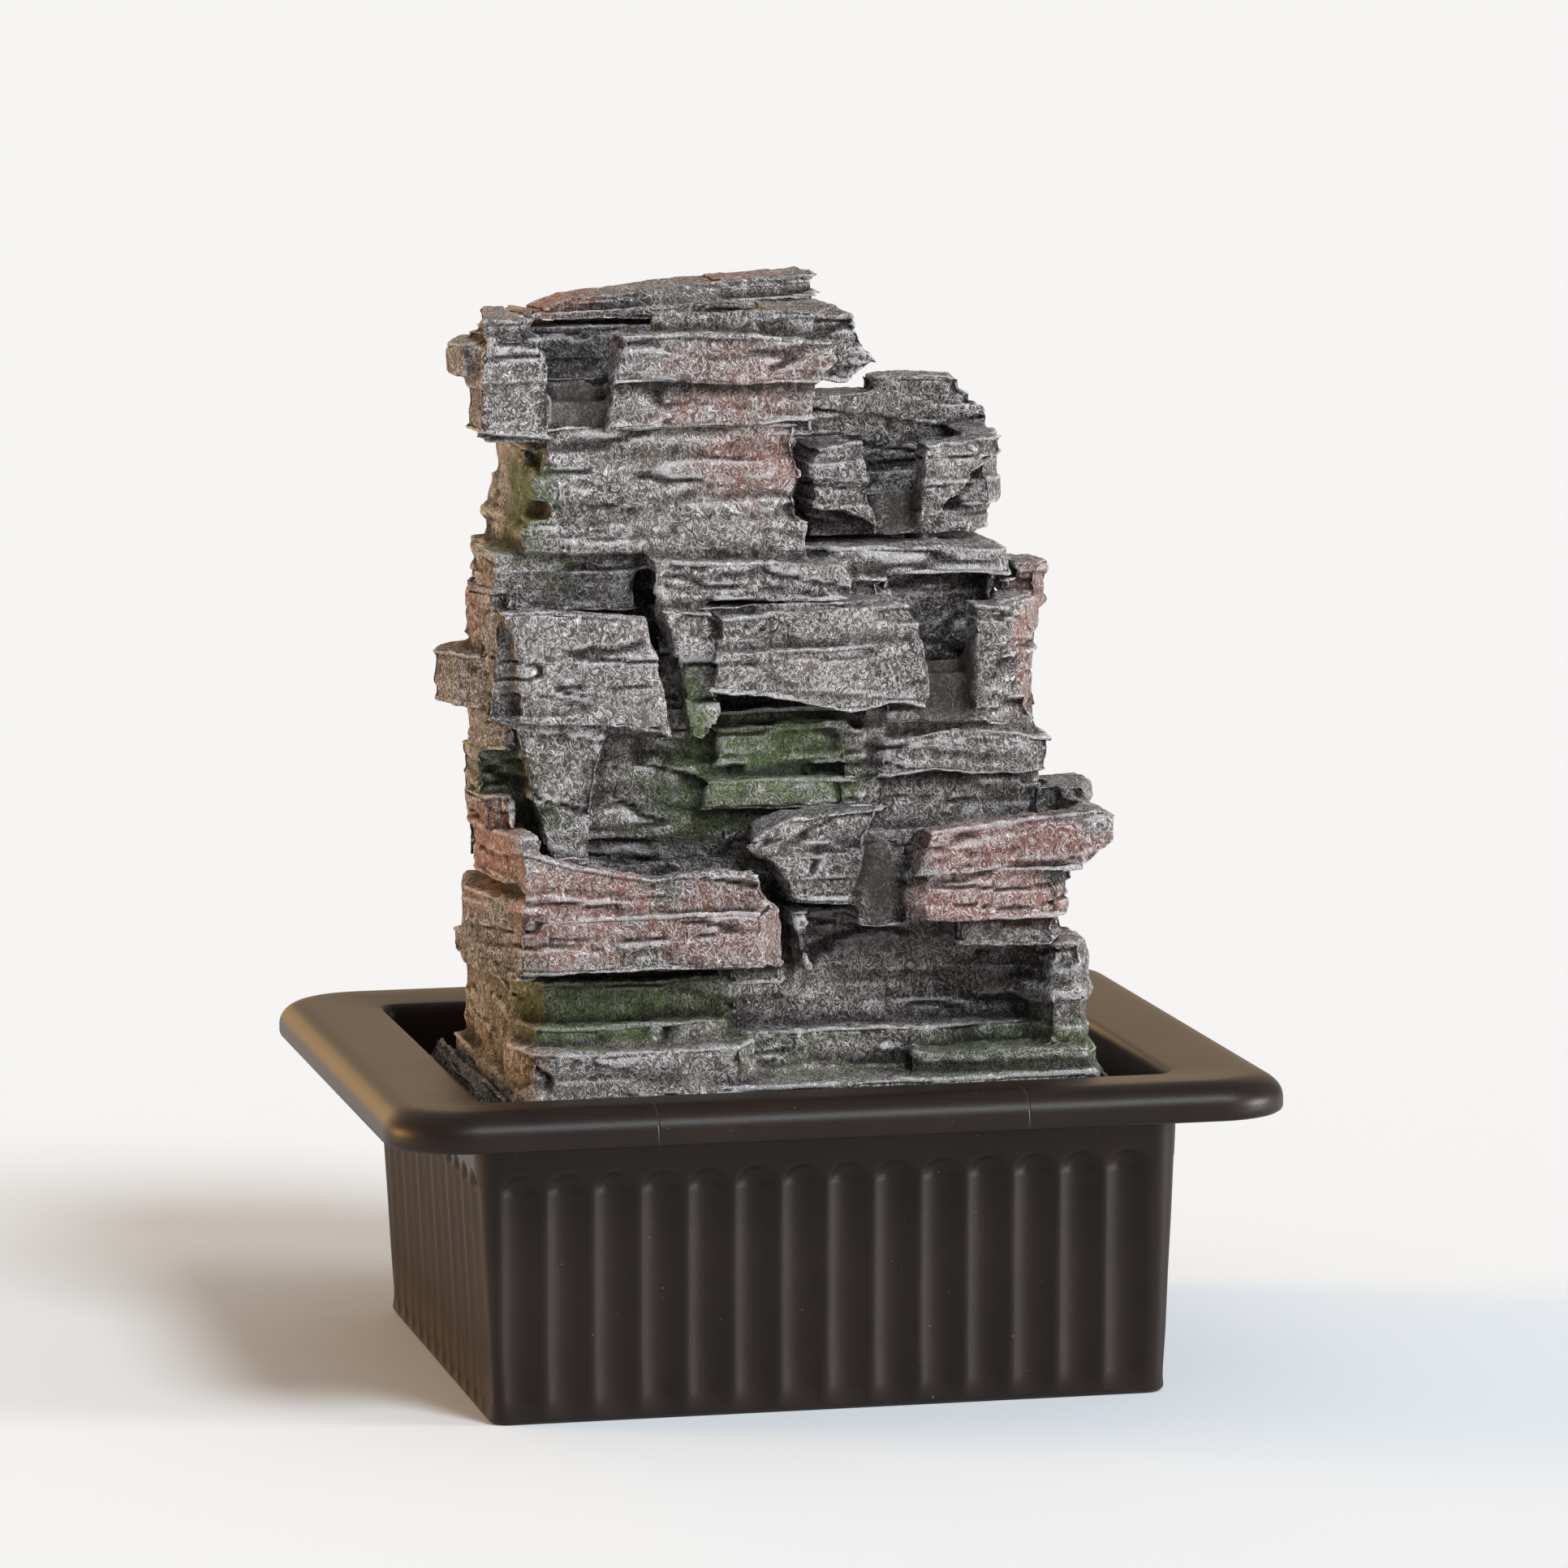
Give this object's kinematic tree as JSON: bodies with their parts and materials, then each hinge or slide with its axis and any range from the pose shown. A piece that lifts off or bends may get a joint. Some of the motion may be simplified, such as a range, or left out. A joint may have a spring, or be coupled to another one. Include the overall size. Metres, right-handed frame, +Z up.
{
  "type": "tabletop water fountain",
  "caption": "Tabletop fountain: a stacked-slate rock tower with stepped catch bowls stands in a dark fluted tub with a wide rolled rim, over a submersible pump.",
  "frame": {"origin": "centre of the tub's underside, on the surface that the fountain stands on", "axes": "+Z up; +X to the right and -Y towards the viewer, seen from the front, where the spouts are"},
  "size_m": [0.22, 0.2034, 0.27],
  "materials": {
    "tub_plastic": "satin moulded",
    "grey_stone": "matte, painted cast resin",
    "pink_stone": "matte, painted cast resin",
    "green_stone": "matte, painted cast resin",
    "pump_plastic": "satin moulded",
    "slider_plastic": "satin moulded",
    "fitting_plastic": "satin moulded",
    "bobbin_plastic": "matte moulded",
    "core_steel": "laminated, bare",
    "copper_wire": "enamelled wire",
    "potting_resin": "cast, glossy",
    "white_ceramic": "ground",
    "magnet": "ferrite, matte",
    "soft_rubber": "matte",
    "clear_hose": "clear soft vinyl"
  },
  "bodies": {
    "basin": {"tub_shell": "tub_plastic", "pump_housing": "pump_plastic", "stator_core": "core_steel", "coil_bobbin": "bobbin_plastic", "coil_winding": "copper_wire", "potting_plug": "potting_resin", "rotor_shaft": "white_ceramic", "front_bush": "soft_rubber", "rear_bush": "soft_rubber", "cover_gasket": "soft_rubber", "volute_cover": "pump_plastic", "cable_gland": "soft_rubber", "suction_cup_1": "soft_rubber", "suction_cup_2": "soft_rubber", "suction_cup_3": "soft_rubber", "suction_cup_4": "soft_rubber"},
    "rock_tower": {"rock_core_foot": "grey_stone", "rock_core_waist": "grey_stone", "rock_core_shoulder": "grey_stone", "rock_core_crown": "grey_stone", "base_skirt": "green_stone", "lower_left_bowl": "pink_stone", "lower_right_bowl": "pink_stone", "middle_left_bowl": "grey_stone", "middle_right_bowl": "grey_stone", "upper_right_bowl": "grey_stone", "top_bowl": "pink_stone", "cap_stone": "pink_stone", "lower_riser_hose": "clear_hose", "upper_riser_hose": "clear_hose", "branch_hose": "clear_hose", "branch_riser_hose": "clear_hose", "hose_tee": "fitting_plastic", "branch_elbow": "fitting_plastic", "top_outlet": "fitting_plastic", "branch_outlet": "fitting_plastic"},
    "pump_rotor": {"rotor_magnet": "magnet", "impeller": "pump_plastic"},
    "strainer": {"strainer_cover": "pump_plastic"},
    "throttle": {"flow_slider": "slider_plastic"}
  },
  "joints": [
    {"name": "tower_lift", "type": "slide", "parent": "basin", "child": "rock_tower", "axis": [0, 0, 1], "range_m": [0, 0.085]},
    {"name": "rotor_spin", "type": "hinge", "parent": "basin", "child": "pump_rotor", "pos_m": [-0.012, 0.001, 0.0284], "axis": [0, 1, 0], "continuous": true},
    {"name": "strainer_pull", "type": "slide", "parent": "basin", "child": "strainer", "axis": [0, -1, 0], "range_m": [0, 0.012]},
    {"name": "flow_slide", "type": "slide", "parent": "strainer", "child": "throttle", "axis": [1, 0, 0], "range_m": [0, 0.007]}
  ]
}
